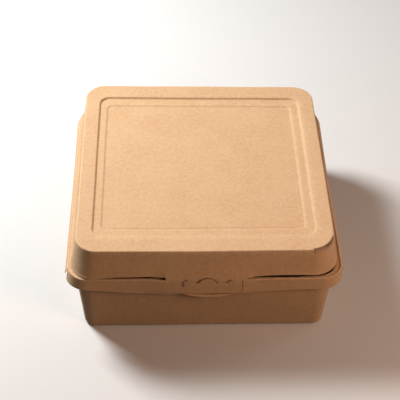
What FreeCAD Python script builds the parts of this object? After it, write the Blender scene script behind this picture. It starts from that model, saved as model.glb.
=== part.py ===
import FreeCAD, Part
import math
import os

# Takeaway lunch box pressed from one sheet of kraft paperboard: a tray and a lid, joined at the back fold.
# X runs across the box, Y from the front (-) to the back (+), Z up. Sizes are millimetres.
# The origin is the middle of the tray's flat underside.

# Board and clearances
board = 0.6              # thickness of the pressed board
seat_gap = 0.3           # lid foot above the tray's rim
fold_gap = 0.3           # between the two halves at the back fold
tab_gap = 0.8            # closing tab in front of the front band

# Tray, outside sizes at the rim
rim_height = 67.8
tray_width = 216.8
tray_depth = 226.0
tray_draft = 4.9         # degrees, all four walls
tray_corner = 15.3
floor_edge = 3.2         # radius where the walls meet the floor

# Flat rim round the mouth of the tray
rim_side = 5.1           # width of the rim at the sides
rim_end = 4.0            # width of the rim at the front and back
rim_front_corner = 18.0
rim_back_corner = 27.0

# Front band, turned down from the rim and wrapped round both front corners
band_height = 15.0
band_bow = 3.9           # how much higher the band's foot is at its ends than at its middle
band_flare = 0.7
band_wrap = 73.0         # degrees round each front corner

# Slanted side lips, which carry on round the back corners
lip_drop = 4.0
lip_ear_drop = 6.0       # each lip is deeper at its blunt front end
lip_ear_run = 14.0       # and tapers to its plain depth over this length
lip_flare = 1.9
lip_wrap = 62.0          # degrees round each back corner
relief = 1.0             # cut between a lip's blunt front end and the band

# Thumb lip under the middle of the front band
thumb_half_width = 27.0
thumb_reach = 4.2
thumb_slope = 38.0       # degrees out from upright

# Lid wall and top
lid_rise = 26.0          # foot of the lid wall to the top panel
lid_flare = 4.0          # how far each wall leans out towards its foot
lid_set_side = 3.6       # lid foot inside the rim's edge at the sides
lid_set_end = 2.6        # lid foot inside the rim's edge at the front and back
lid_foot_corner = 22.0
lid_top_corner = 18.0
lid_edge = 1.4           # rounding where the walls meet the top panel

# Two recessed steps in the top panel
border_side = 13.0
border_end = 17.5
outer_drop = 2.0
outer_corner = 10.0
ledge_side = 7.5
ledge_end = 10.3
inner_drop = 1.3
inner_corner = 5.0
step_run = 1.3           # sloping width of each step

# Closing tab at the front of the lid
tab_half_width = 28.8
tab_corner = 6.0
tab_root = 2.0           # hollow rounding where the tab leaves the lid
swell_height = 10.0      # the lid wall swells out over this height to reach the tab
swell_blend = 5.3        # and blends back into the wall over this length at each side
moon_width = 17.1        # half-moon thumb cut
moon_rise = 5.1
moon_slit = 0.8
moon_below_rim = 3.6     # ends of the half-moon below the rim
dimple_spacing = 37.0    # two shallow snap dimples, one each side of the half-moon
dimple_radius = 3.2
dimple_depth = 0.5
dimple_below_rim = 4.7

# Back fold
fold_half_width = 82.0   # hinge flap, inside the straight part of the back edge

# Sizes that follow from the ones above
rim_width = tray_width + 2 * rim_side
rim_depth = tray_depth + 2 * rim_end
rim_front = -rim_depth / 2
rim_back = rim_depth / 2
foot_height = rim_height + seat_gap
foot_width = rim_width - 2 * lid_set_side
foot_depth = rim_depth - 2 * lid_set_end
lid_height = foot_height + lid_rise
top_width = foot_width - 2 * lid_flare
top_depth = foot_depth - 2 * lid_flare


def outline(width, depth, front_corner, back_corner, height):
    """Closed rounded rectangle, level at the given height and centred on Z."""
    right, back = width / 2, depth / 2
    left, front = -right, -back

    def arc(corner_x, corner_y, radius, start):
        middle = FreeCAD.Vector(corner_x, corner_y, height)
        circle = Part.Circle(middle, FreeCAD.Vector(0, 0, 1), radius)
        return circle.toShape(math.radians(start), math.radians(start + 90))

    corners = [
        arc(right - back_corner, back - back_corner, back_corner, 0),
        arc(left + back_corner, back - back_corner, back_corner, 90),
        arc(left + front_corner, front + front_corner, front_corner, 180),
        arc(right - front_corner, front + front_corner, front_corner, 270),
    ]
    edges = []
    for this, following in zip(corners, corners[1:] + corners[:1]):
        side = Part.makeLine(this.Vertexes[-1].Point, following.Vertexes[0].Point)
        edges += [this, side]
    return Part.Wire(edges)


def tapered(lower, upper):
    """Solid with straight walls between two outlines."""
    return Part.makeLoft([lower, upper], True, True)


def rounded_edges(solid, height, radius):
    """Round every edge that lies level at the given height."""
    level = [
        edge for edge in solid.Edges
        if all(abs(vertex.Z - height) < 1e-4 for vertex in edge.Vertexes)
    ]
    return solid.makeFillet(radius, level)


def polygon(points):
    return Part.makePolygon(points + points[:1])


def upright_arc(centre_x, centre_z, radius, start, finish):
    """Arc in the XZ plane, between two angles in degrees from +X towards +Z."""
    points = []
    for angle in (start, (start + finish) / 2, finish):
        turn = math.radians(angle)
        across = centre_x + radius * math.cos(turn)
        points.append(FreeCAD.Vector(across, 0, centre_z + radius * math.sin(turn)))
    return Part.Arc(*points).toShape()


def strip_section(out, along, top, drop, flare):
    """Upright section of a turned-down strip. It starts at the rim's edge and leans outwards."""
    angle = math.atan2(flare, drop)
    run = board / math.cos(angle)
    offsets = [(0, 0), (flare, -drop), (flare - run, -drop), (-run, 0)]
    points = [out(along, away, top + down) for away, down in offsets]
    return Part.Face(polygon(points))


def tray_shell():
    inset = rim_height * math.tan(math.radians(tray_draft))
    wall_run = board / math.cos(math.radians(tray_draft))

    def level(height, shrink):
        lean = inset * (1 - height / rim_height) + shrink
        return outline(tray_width - 2 * lean, tray_depth - 2 * lean,
                       tray_corner - lean, tray_corner - lean, height)

    def block(shrink, floor, mouth, edge):
        return rounded_edges(tapered(level(floor, shrink), level(mouth, shrink)), floor, edge)

    outside = block(0, 0, rim_height, floor_edge)
    inside = block(wall_run, board, rim_height + 5, floor_edge - board)
    rim_outline = outline(rim_width, rim_depth, rim_front_corner, rim_back_corner, rim_height - board)
    rim = Part.Face(rim_outline).extrude(FreeCAD.Vector(0, 0, board))
    return outside.fuse(rim).cut(inside)


def front_band():
    """Band across the front, turned round each front corner about the corner's own centre."""
    corner_x = rim_width / 2 - rim_front_corner
    corner_y = rim_front + rim_front_corner
    section = strip_section(lambda x, away, z: FreeCAD.Vector(x, rim_front - away, z),
                            -corner_x, rim_height, band_height, band_flare)
    middle = section.extrude(FreeCAD.Vector(2 * corner_x, 0, 0))
    left = section.revolve(FreeCAD.Vector(-corner_x, corner_y, 0), FreeCAD.Vector(0, 0, 1), -band_wrap)
    right = left.mirror(FreeCAD.Vector(0, 0, 0), FreeCAD.Vector(1, 0, 0))
    return middle.fuse([left, right]).cut(band_foot(corner_y))


def band_foot(reach):
    """What is cut off under the band, so that its foot bows up from the middle to both ends."""
    foot = rim_height - band_height
    end = rim_width / 2 + lip_flare
    bow = Part.Arc(FreeCAD.Vector(-end, 0, foot + band_bow), FreeCAD.Vector(0, 0, foot),
                   FreeCAD.Vector(end, 0, foot + band_bow)).toShape()
    below = [bow.Vertexes[-1].Point, FreeCAD.Vector(end, 0, foot - 1),
             FreeCAD.Vector(-end, 0, foot - 1), bow.Vertexes[0].Point]
    face = Part.Face(Part.Wire([bow] + Part.makePolygon(below).Edges))
    face.translate(FreeCAD.Vector(0, rim_front - band_height, 0))
    return face.extrude(FreeCAD.Vector(0, reach - rim_front + 2 * band_height, 0))


def side_lip():
    """Right-hand lip: a deeper front end, straight along the side, then round the back corner."""
    edge = rim_width / 2
    front_corner_y = rim_front + rim_front_corner
    band_end = front_corner_y - rim_front_corner * math.cos(math.radians(band_wrap))
    start = band_end + relief
    back_corner_y = rim_back - rim_back_corner
    plain = start + lip_ear_run

    def section(along, drop):
        return strip_section(lambda y, away, z: FreeCAD.Vector(edge + away, y, z),
                             along, rim_height, drop, lip_flare)

    ear = tapered(section(start, lip_ear_drop).OuterWire, section(plain, lip_drop).OuterWire)
    straight = section(plain, lip_drop).extrude(FreeCAD.Vector(0, back_corner_y - plain, 0))
    corner = section(back_corner_y, lip_drop).revolve(
        FreeCAD.Vector(edge - rim_back_corner, back_corner_y, 0), FreeCAD.Vector(0, 0, 1), lip_wrap)
    return ear.fuse([straight, corner])


def thumb_lip():
    """Crescent under the band: a chord at the band's lower edge and an arc that leans outwards."""
    slope = math.radians(thumb_slope)
    outwards = FreeCAD.Vector(0, -math.sin(slope), -math.cos(slope))
    inwards = FreeCAD.Vector(0, math.cos(slope), -math.sin(slope))
    root = FreeCAD.Vector(0, rim_front - band_flare, rim_height - band_height + board / 2)
    left = root + FreeCAD.Vector(-thumb_half_width, 0, 0)
    right = root + FreeCAD.Vector(thumb_half_width, 0, 0)
    bow = Part.Arc(left, root + outwards * thumb_reach, right).toShape()
    crescent = Part.Face(Part.Wire([bow, Part.makeLine(right, left)]))
    return crescent.extrude(inwards * board)


def base_tray():
    lip = side_lip()
    other_lip = lip.mirror(FreeCAD.Vector(0, 0, 0), FreeCAD.Vector(1, 0, 0))
    return tray_shell().fuse([front_band(), lip, other_lip, thumb_lip()])


def recess(grow, sink):
    """The two steps of the top panel as one stack of blocks. Grow widens it and sink lowers it."""
    def step(side, end, corner, top, drop):
        width, depth = top_width - 2 * side, top_depth - 2 * end
        upper = outline(width + 2 * grow, depth + 2 * grow, corner + grow, corner + grow, top)
        lower = outline(width + 2 * grow - 2 * step_run, depth + 2 * grow - 2 * step_run,
                        max(corner + grow - step_run, 1.0), max(corner + grow - step_run, 1.0), top - drop)
        return tapered(lower, upper)

    outer = step(border_side, border_end, outer_corner, lid_height - sink, outer_drop)
    inner = step(border_side + ledge_side, border_end + ledge_end, inner_corner,
                 lid_height - sink - outer_drop, inner_drop)
    return outer.fuse(inner)


def lid_shell():
    wall_run = board / math.cos(math.atan2(lid_flare, lid_rise))

    def block(shrink, foot, top, edge):
        def level(height):
            lean = lid_flare * (height - foot_height) / lid_rise + shrink
            corner = lid_foot_corner + (lid_top_corner - lid_foot_corner) * (height - foot_height) / lid_rise
            return outline(foot_width - 2 * lean, foot_depth - 2 * lean,
                           corner - shrink, corner - shrink, height)

        return rounded_edges(tapered(level(foot), level(top)), top, edge)

    outside = block(0, foot_height, lid_height, lid_edge)
    inside = block(wall_run, foot_height - 5, lid_height - board, lid_edge - board)
    pocket = recess(0, 0)
    pad = recess(board, board)
    return outside.cut(pocket).cut(inside.cut(pad))


def tab_faces(height):
    """Inner and outer Y of the tab at a height, at a constant gap in front of the band."""
    away = band_flare * (rim_height - height) / band_height
    inner = rim_front - away - tab_gap
    return inner, inner - board


def swell():
    """Lid wall over the tab: it leans out from the wall's own line to the front of the band."""
    wall_run = board / math.cos(math.atan2(lid_flare, lid_rise))
    top = foot_height + swell_height
    wall_top = -foot_depth / 2 + lid_flare * swell_height / lid_rise
    tab_inner, tab_outer = tab_faces(foot_height)

    def section(x, foot_inner, foot_outer):
        return polygon([
            FreeCAD.Vector(x, wall_top, top),
            FreeCAD.Vector(x, foot_outer, foot_height),
            FreeCAD.Vector(x, foot_inner, foot_height),
            FreeCAD.Vector(x, wall_top + wall_run, top),
        ])

    blend_x = tab_half_width + swell_blend
    wall_foot = (-foot_depth / 2 + wall_run, -foot_depth / 2)
    tab_foot = (tab_inner, tab_outer)
    sections = [
        section(-blend_x, *wall_foot),
        section(-tab_half_width, *tab_foot),
        section(tab_half_width, *tab_foot),
        section(blend_x, *wall_foot),
    ]
    body = Part.makeLoft(sections, True, True)
    room = Part.makeBox(2 * blend_x, 4 * lid_flare, swell_height,
                        FreeCAD.Vector(-blend_x, -foot_depth / 2 - lid_flare, foot_height))
    return body, room


def tab_outline():
    """Front view of the tab: hollow root corners at the top, round corners at the foot."""
    top = foot_height
    root = top - tab_root
    foot = rim_height - band_height
    turn = foot + tab_corner
    side = tab_half_width
    inner = side - tab_corner
    outer = side + tab_root

    def line(x1, z1, x2, z2):
        return Part.makeLine(FreeCAD.Vector(x1, 0, z1), FreeCAD.Vector(x2, 0, z2))

    return Part.Wire([
        line(-outer, top, outer, top),
        upright_arc(outer, root, tab_root, 90, 180),
        line(side, root, side, turn),
        upright_arc(inner, turn, tab_corner, 0, -90),
        line(inner, foot, -inner, foot),
        upright_arc(-inner, turn, tab_corner, 270, 180),
        line(-side, turn, -side, root),
        upright_arc(-outer, root, tab_root, 0, 90),
    ])


def tab_plate():
    foot = rim_height - band_height
    top_inner, top_outer = tab_faces(foot_height)
    foot_inner, foot_outer = tab_faces(foot)
    reach = tab_half_width + tab_root
    section = polygon([
        FreeCAD.Vector(-reach, top_outer, foot_height),
        FreeCAD.Vector(-reach, foot_outer, foot),
        FreeCAD.Vector(-reach, foot_inner, foot),
        FreeCAD.Vector(-reach, top_inner, foot_height),
    ])
    plate = Part.Face(section).extrude(FreeCAD.Vector(2 * reach, 0, 0))
    front_view = Part.Face(tab_outline())
    front_view.translate(FreeCAD.Vector(0, rim_front - tab_corner, 0))
    return plate.common(front_view.extrude(FreeCAD.Vector(0, 2 * tab_corner, 0)))


def half_moon():
    """Curved slit: a ring sector whose outer arc passes through the two ends and the crown."""
    half = moon_width / 2
    radius = (half ** 2 + moon_rise ** 2) / (2 * moon_rise)
    centre = rim_height - moon_below_rim + moon_rise - radius
    start = math.degrees(math.atan2(radius - moon_rise, half))
    outer = upright_arc(0, centre, radius, start, 180 - start)
    inner = upright_arc(0, centre, radius - moon_slit, 180 - start, start)
    face = Part.Face(Part.Wire([
        outer,
        Part.makeLine(outer.Vertexes[-1].Point, inner.Vertexes[0].Point),
        inner,
        Part.makeLine(inner.Vertexes[-1].Point, outer.Vertexes[0].Point),
    ]))
    face.translate(FreeCAD.Vector(0, rim_front - 2 * lid_flare, 0))
    return face.extrude(FreeCAD.Vector(0, 4 * lid_flare, 0))


def dimple(x):
    """A shallow cap pressed into the tab: its hollow, and the bulge behind it."""
    height = rim_height - dimple_below_rim
    tab_inner, tab_outer = tab_faces(height)
    radius = (dimple_radius ** 2 + dimple_depth ** 2) / (2 * dimple_depth)
    centre = FreeCAD.Vector(x, tab_outer + dimple_depth - radius, height)
    hollow = Part.makeSphere(radius, centre)
    behind = Part.makeBox(4 * dimple_radius, board + dimple_depth, 4 * dimple_radius,
                          FreeCAD.Vector(x - 2 * dimple_radius, tab_inner - board / 2,
                                         height - 2 * dimple_radius))
    bulge = Part.makeSphere(radius + board, centre).common(behind)
    return hollow, bulge


def hinge_flap():
    """Flat flap from the foot of the back wall to the fold."""
    wall_run = board / math.cos(math.atan2(lid_flare, lid_rise))
    start = foot_depth / 2 - wall_run
    return Part.makeBox(2 * fold_half_width, rim_back - start, board,
                        FreeCAD.Vector(-fold_half_width, start, foot_height))


def lid():
    swollen_wall, room = swell()
    body = lid_shell().cut(room).fuse([swollen_wall, tab_plate(), hinge_flap()])
    for x in (-dimple_spacing / 2, dimple_spacing / 2):
        hollow, bulge = dimple(x)
        body = body.fuse(bulge).cut(hollow)
    return body.cut(half_moon())


def save(name, shape):
    solid = shape.removeSplitter()
    solids = solid.Solids
    print(name, "solids", len(solids), "valid", solid.isValid(), "volume", round(solid.Volume, 1))
    solids[0].exportStep("parts/" + name + ".step")


os.makedirs("parts", exist_ok=True)
save("base_tray", base_tray())
save("lid", lid())
fold_y = rim_back + fold_gap / 2
fold_z = rim_height + seat_gap / 2
print("fold axis at y", fold_y, "z", fold_z)
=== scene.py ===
import bpy
import bmesh
import math
import numpy as np
from mathutils import Matrix, Vector, noise


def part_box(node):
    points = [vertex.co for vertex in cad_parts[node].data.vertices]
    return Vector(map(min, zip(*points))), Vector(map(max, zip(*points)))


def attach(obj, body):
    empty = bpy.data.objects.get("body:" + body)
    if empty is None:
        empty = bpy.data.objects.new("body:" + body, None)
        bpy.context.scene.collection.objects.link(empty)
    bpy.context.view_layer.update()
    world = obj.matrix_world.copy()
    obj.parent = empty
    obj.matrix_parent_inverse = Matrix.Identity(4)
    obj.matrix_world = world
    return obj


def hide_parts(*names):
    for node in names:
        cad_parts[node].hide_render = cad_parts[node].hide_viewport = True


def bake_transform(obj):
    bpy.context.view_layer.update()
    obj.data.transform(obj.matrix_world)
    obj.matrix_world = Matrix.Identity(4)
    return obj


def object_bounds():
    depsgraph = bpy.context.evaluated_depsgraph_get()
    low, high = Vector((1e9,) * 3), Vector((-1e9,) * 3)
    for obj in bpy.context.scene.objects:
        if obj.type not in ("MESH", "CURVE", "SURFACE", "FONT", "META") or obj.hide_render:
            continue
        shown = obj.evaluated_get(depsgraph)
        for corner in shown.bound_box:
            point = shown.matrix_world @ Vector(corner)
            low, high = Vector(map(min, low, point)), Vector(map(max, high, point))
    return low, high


# Pressed kraft lunch box, closed: a tray and a lid of one thin board, joined at the back fold.
# Sizes in the dictionaries are millimetres, in the frame's own axes.

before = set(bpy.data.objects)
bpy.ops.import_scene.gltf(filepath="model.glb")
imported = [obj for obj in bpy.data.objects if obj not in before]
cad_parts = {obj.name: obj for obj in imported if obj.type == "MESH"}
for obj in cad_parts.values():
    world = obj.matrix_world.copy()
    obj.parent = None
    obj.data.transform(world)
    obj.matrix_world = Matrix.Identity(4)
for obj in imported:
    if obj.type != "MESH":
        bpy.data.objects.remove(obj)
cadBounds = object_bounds()
mm = 0.001
noise.seed_set(3)  # so that the unevenness is the same each time
trayLow, trayHigh = [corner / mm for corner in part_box("base_tray")]
lidLow, lidHigh = [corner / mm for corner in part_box("lid")]
print("frame loaded")


# small tools for objects and node trees

def addObject(name, data):
    thing = bpy.data.objects.new(name, data)
    bpy.context.scene.collection.objects.link(thing)
    return thing


def newMesh(name, points, faces, *finishes):
    mesh = bpy.data.meshes.new(name)
    mesh.from_pydata(points, [], faces)
    for finish in finishes:
        mesh.materials.append(finish)
    return mesh


def newFinish(name):
    finish = bpy.data.materials.new(name)
    finish.use_nodes = True
    return finish, finish.node_tree, finish.node_tree.nodes["Principled BSDF"]


def feed(tree, node, inputs):
    for name, value in inputs.items():
        if isinstance(value, bpy.types.NodeSocket):
            tree.links.new(value, node.inputs[name])
        else:
            node.inputs[name].default_value = value


def addNode(tree, kind, inputs=None, **settings):
    node = tree.nodes.new(kind)
    for name, value in settings.items():
        setattr(node, name, value)
    feed(tree, node, inputs or {})
    return node


def addMath(tree, operation, first, second=0.0):
    return addNode(tree, "ShaderNodeMath", {0: first, 1: second}, operation=operation).outputs[0]


def addMix(tree, amount, first, second):
    first, second = [(*shade, 1) if isinstance(shade, tuple) else shade for shade in (first, second)]
    inputs = {0: amount, 6: first, 7: second}
    return addNode(tree, "ShaderNodeMix", inputs, data_type="RGBA", clamp_factor=True).outputs[2]


# camera, lights and floor

studio = {
    "cameraPlace": (-0.03128, -0.74654, 0.73042),
    "cameraTarget": (0.00069, 0.04939, 0.0033),
    "cameraRoll": 1.16,  # degrees
    "lens": 100.70,
    "lamps": {  # place, size, power and colour
        "keyLight": ((-0.62, 0.44, 0.80), (0.30, 0.40), 16.8, (0.98, 1.0, 1.0)),
        "cardLight": ((0.47, -0.46, 0.46), (0.24, 0.20), 2.0, (1.0, 0.64, 0.46)),
        "rimLight": ((0.95, 0.35, 0.35), (0.4, 0.4), 1.1, (0.98, 1.0, 1.0)),
    },
    "airColour": (1.0, 0.72, 0.54),
    "airStrength": 0.075,
    "backdrop": (0.86, 0.86, 0.86),
    "floorHalf": 6.0,  # metres
    "floorBelow": 0.0002,  # so that no face of the tray lies in it
    "floorColour": (0.72, 0.71, 0.70),
    "floorBounce": (0.035, 0.022, 0.014),
}


def lookingAt(place, target, roll=0.0):
    forward = (Vector(target) - Vector(place)).normalized()
    side = forward.cross(Vector((0, 0, 1))).normalized()
    up = side.cross(forward)
    turn = Matrix((side, up, -forward)).transposed()
    turn = turn @ Matrix.Rotation(math.radians(roll), 3, "Z")
    return Matrix.Translation(place) @ turn.to_4x4()


def addCamera():
    data = bpy.data.cameras.new("camera")
    data.lens = studio["lens"]
    data.sensor_width = 36.0
    camera = addObject("camera", data)
    camera.matrix_world = lookingAt(studio["cameraPlace"], studio["cameraTarget"], studio["cameraRoll"])
    bpy.context.scene.camera = camera


def addSoftbox(name, place, size, power, colour):
    data = bpy.data.lights.new(name, "AREA")
    data.shape = "RECTANGLE"
    data.size, data.size_y = size
    data.energy = power
    data.color = colour
    addObject(name, data).matrix_world = lookingAt(place, (0, 0, 0.05))


def seenDirectly(tree):
    # 1 for what the camera sees itself, in a gloss or through glass, and 0 for the light passed on.
    path = addNode(tree, "ShaderNodeLightPath")
    seen = path.outputs["Is Camera Ray"]
    for name in ("Is Glossy Ray", "Is Transmission Ray"):
        seen = addMath(tree, "MAXIMUM", seen, path.outputs[name])
    return seen


def addWorld():
    world = bpy.data.worlds.new("studioAir")
    world.use_nodes = True
    tree = world.node_tree
    air = tree.nodes["Background"]
    feed(tree, air, {"Color": (*studio["airColour"], 1), "Strength": studio["airStrength"]})
    backdrop = addNode(tree, "ShaderNodeBackground", {"Color": (*studio["backdrop"], 1)})
    both = addNode(tree, "ShaderNodeMixShader")
    feed(tree, both, {0: seenDirectly(tree), 1: air.outputs[0], 2: backdrop.outputs[0]})
    feed(tree, tree.nodes["World Output"], {"Surface": both.outputs[0]})
    bpy.context.scene.world = world


def addFloor():
    paint, tree, surface = newFinish("floorPaint")
    tint = addMix(tree, seenDirectly(tree), studio["floorBounce"], studio["floorColour"])
    feed(tree, surface, {"Base Color": tint, "Roughness": 0.9})
    half = studio["floorHalf"]
    ends = [(-half, -half, 0), (half, -half, 0), (half, half, 0), (-half, half, 0)]
    floor = addObject("floor", newMesh("floor", ends, [(0, 1, 2, 3)], paint))
    floor.location.z = cadBounds[0].z - studio["floorBelow"]


addCamera()
for lampName, lamp in studio["lamps"].items():
    addSoftbox(lampName, *lamp)
addWorld()
addFloor()
bpy.context.scene.view_settings.view_transform = "Standard"
print("camera, lights and floor are in place")


# kraft board finishes

kraft = {
    "base": (0.62, 0.385, 0.205),
    "pale": (0.72, 0.475, 0.275),
    "dark": (0.50, 0.285, 0.135),
    "fibreDark": (0.30, 0.15, 0.065),
    # pale of hairs, and of the painted highlight along folds
    "paleFibreAndHighlight": (0.82, 0.62, 0.40),
    "core": (0.70, 0.50, 0.31),
    # dark of torn fibres, and painted shade in the crack, along the tab's cuts and dents and under the tab
    "tearAndShadeColour": (0.115, 0.038, 0.014),
    "roughness": 0.74,
    "cloud": (38, 3, 0.5),  # noises: scale per metre, detail, roughness and distortion
    "mottle": (330, 4, 0.62, 0.4),
    "fleck": (620, 1, 0.5),
    "grain": (1500, 3, 0.6),
    "plies": (2600, 2, 0.7),
    "darkHairs": ((12, 20, 35), 2.4, 0.16, 0.22),  # turn, length, width and how many there are
    "moreHairs": ((-18, 8, 118), 1.9, 0.14, 0.20),
    "paleHairs": ((5, -25, 72), 2.8, 0.18, 0.26),
    "relief": 0.32,
    "cutRelief": 0.55,
    "reliefHeight": 0.00022,  # metres
}


def addNoise(tree, place, scale, detail=2.0, roughness=0.5, distortion=0.0):
    return addNode(tree, "ShaderNodeTexNoise", {
        "Vector": place, "Scale": scale, "Detail": detail, "Roughness": roughness,
        "Distortion": distortion}).outputs["Fac"]


def addRange(tree, value, low, high, start=0.0, end=1.0):
    inputs = {"Value": value, "From Min": low, "From Max": high, "To Min": start, "To Max": end}
    return addNode(tree, "ShaderNodeMapRange", inputs, clamp=True,
                   interpolation_type="SMOOTHSTEP").outputs["Result"]


def addFibres(tree, place, turn, length, width, share):
    # Short hairs pressed into the sheet: each cell of a stretched pattern may hold one.
    bent = addNode(tree, "ShaderNodeVectorMath", operation="ADD")
    wander = addNode(tree, "ShaderNodeTexNoise",
                     {"Vector": place, "Scale": 0.35 / (length * mm), "Detail": 0.0})
    small = addNode(tree, "ShaderNodeVectorMath",
                    {0: wander.outputs["Color"], "Scale": 0.8 * length * mm}, operation="SCALE")
    feed(tree, bent, {0: place, 1: small.outputs[0]})
    laid = addNode(tree, "ShaderNodeMapping", {
        "Vector": bent.outputs[0],
        "Rotation": [math.radians(angle) for angle in turn],
        "Scale": (1 / (length * mm), 1 / (width * 4 * mm), 1 / (width * 4 * mm))})
    cells = addNode(tree, "ShaderNodeTexVoronoi", {"Vector": laid.outputs[0], "Scale": 1.0})
    hair = addRange(tree, cells.outputs["Distance"], 0.12, 0.30, 1.0, 0.0)
    pick = addNode(tree, "ShaderNodeSeparateColor", {0: cells.outputs["Color"]})
    chosen = addRange(tree, pick.outputs[0], 1 - share - 0.02, 1 - share + 0.02)
    return addMath(tree, "MULTIPLY", hair, chosen)


def kraftFinish(name, cutEdge=False):
    finish, tree, surface = newFinish(name)
    place = addNode(tree, "ShaderNodeTexCoord").outputs["Object"]

    # pulp that lies unevenly: broad clouds, then the close mottle of the sheet
    cloud = addNoise(tree, place, *kraft["cloud"])
    mottle = addNoise(tree, place, *kraft["mottle"])
    grain = addNoise(tree, place, *kraft["grain"])
    colour = addMix(tree, addRange(tree, mottle, 0.32, 0.70), kraft["dark"], kraft["pale"])
    colour = addMix(tree, 0.62, colour, kraft["base"])
    colour = addMix(tree, addRange(tree, cloud, 0.3, 0.7, 0.0, 0.30), colour, kraft["pale"])
    colour = addMix(tree, addRange(tree, grain, 0.35, 0.65, 0.10, 0.0), colour, kraft["dark"])

    # hairs and flecks
    darkHairs = addFibres(tree, place, *kraft["darkHairs"])
    moreHairs = addFibres(tree, place, *kraft["moreHairs"])
    paleHairs = addFibres(tree, place, *kraft["paleHairs"])
    fleck = addRange(tree, addNoise(tree, place, *kraft["fleck"]), 0.70, 0.80)
    hairs = addMath(tree, "MAXIMUM", darkHairs, moreHairs)
    marks = (hairs, 0.34, "fibreDark"), (paleHairs, 0.30, "paleFibreAndHighlight"), (fleck, 0.45, "fibreDark")
    for part, share, shade in marks:
        colour = addMix(tree, addMath(tree, "MULTIPLY", part, share), colour, kraft[shade])

    # folds rub pale and carry a painted highlight along their edges; a torn place is dark between lifted
    # fibres, and the same dark mix paints shade in the crack, along the tab's cuts and dents, and under the
    # tab
    rubAndHighlight, lift, tearAndShade = [addNode(tree, "ShaderNodeAttribute", attribute_name=layer).outputs["Fac"]
                       for layer in ("fold", "lift", "tearAndShade")]
    # painted highlight along the folds, mixed with fibres rubbed pale
    rubAndHighlight = addMath(tree, "MULTIPLY", rubAndHighlight, addRange(tree, mottle, 0.35, 0.62, 0.12, 0.42))
    colour = addMix(tree, rubAndHighlight, colour, kraft["paleFibreAndHighlight"])
    colour = addMix(tree, addMath(tree, "MULTIPLY", lift, 0.6), colour, kraft["paleFibreAndHighlight"])
    # painted shade, with torn fibres in the crack
    colour = addMix(tree, tearAndShade, colour, kraft["tearAndShadeColour"])
    if cutEdge:
        plies = addNoise(tree, place, *kraft["plies"])
        colour = addMix(tree, addRange(tree, plies, 0.35, 0.65, 0.35, 0.75), colour, kraft["core"])

    dull = addRange(tree, mottle, 0.3, 0.7, kraft["roughness"] - 0.07, kraft["roughness"] + 0.07)

    height = addMath(tree, "MULTIPLY", mottle, 0.55)
    for part, share in ((grain, 0.40), (hairs, 0.16), (paleHairs, 0.20)):
        height = addMath(tree, "ADD", height, addMath(tree, "MULTIPLY", part, share))
    relief = addNode(tree, "ShaderNodeBump", {
        "Strength": kraft["cutRelief"] if cutEdge else kraft["relief"],
        "Distance": kraft["reliefHeight"], "Height": height})
    feed(tree, surface, {
        "Base Color": colour, "Roughness": dull, "Specular IOR Level": 0.32,
        "Sheen Weight": 0.08, "Sheen Roughness": 0.6, "Normal": relief.outputs["Normal"]})
    return finish


kraftBoard = kraftFinish("kraftBoard")
kraftCut = kraftFinish("kraftCutEdge", cutEdge=True)
print("kraft finishes are mixed")


# tools for making a pressed sheet

board = 0.6  # thickness


def smooth(value, start, end):
    share = min(max((value - start) / (end - start), 0.0), 1.0)
    return share * share * (3 - 2 * share)


def hump(value, middle, half):
    return math.exp(-((value - middle) / half) ** 2)


def ring(halfWidth, halfDepth, frontCorner, backCorner, height):
    return (halfWidth, halfDepth, frontCorner, backCorner, height)


def grown(outline, by, height):
    halfWidth, halfDepth, *corners = outline[:4]
    return ring(halfWidth + by, halfDepth + by, *[max(radius + by, 0.6) for radius in corners], height)


# Places round the box run anticlockwise from the front left, as (side, how far along it).
# On a straight side the middle stretch keeps true distances, so that features line up from row to row.
trueReach = 70.0
trueShare = 0.8


def alongStraight(share, straight):
    kept = min(trueReach, 0.85 * straight)
    if abs(share) <= trueShare:
        return share / trueShare * kept
    rest = (abs(share) - trueShare) / (1 - trueShare)
    return math.copysign(kept + rest * (straight - kept), share)


def shareAt(distance):
    return distance / trueReach * trueShare


middlePlaces = [shareAt(x) for x in range(-70, 71, 7)]
sidePlaces = [-1, -0.9] + middlePlaces + [0.9, 1]
evenAngles = [k * 3.0 for k in range(31)]

cornerTurns = {  # side: (direction of its first angle, sign of x, sign of y)
    "frontRight": (-90, 1, -1),
    "backRight": (0, 1, 1),
    "backLeft": (90, -1, 1),
    "frontLeft": (180, -1, -1),
}


def spotOn(outline, station):
    halfWidth, halfDepth, front, back, height = outline
    side, along = station
    if side == "front":
        return np.array((alongStraight(along, halfWidth - front), -halfDepth, height))
    if side == "back":
        return np.array((-alongStraight(along, halfWidth - back), halfDepth, height))
    if side in ("right", "left"):
        low, high = -halfDepth + front, halfDepth - back
        middle, straight = (low + high) / 2, (high - low) / 2
        sign = 1 if side == "right" else -1
        return np.array((sign * halfWidth, middle + sign * alongStraight(along, straight), height))
    first, signX, signY = cornerTurns[side]
    radius = front if signY < 0 else back
    angle = math.radians(first + along)
    return np.array((signX * (halfWidth - radius) + radius * math.cos(angle),
                     signY * (halfDepth - radius) + radius * math.sin(angle), height))


def stationsFrom(front, side, back, cornerAngles):
    # Each side without its last place, which is the next side's first.
    places = {"front": front, "right": side, "back": back, "left": side, **cornerAngles}
    order = ("front", "frontRight", "right", "backRight", "back", "backLeft", "left", "frontLeft")
    return [(name, place) for name in order for place in places[name][:-1]]


def bendPoints(before, corner, after, length, steps):
    # Points of the arc that touches both straights at this length from the corner.
    first, second = before - corner, after - corner
    first, second = first / np.linalg.norm(first), second / np.linalg.norm(second)
    half = math.acos(float(np.clip(first @ second, -1, 1))) / 2
    middle = first + second
    centre = corner + middle / np.linalg.norm(middle) * length / math.cos(half)
    start, end = corner + first * length - centre, corner + second * length - centre
    sweep = math.pi - 2 * half

    def onArc(share):
        both = start * math.sin((1 - share) * sweep) + end * math.sin(share * sweep)
        return centre + both / math.sin(sweep)

    return [onArc(k / steps) for k in range(steps + 1)]


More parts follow.
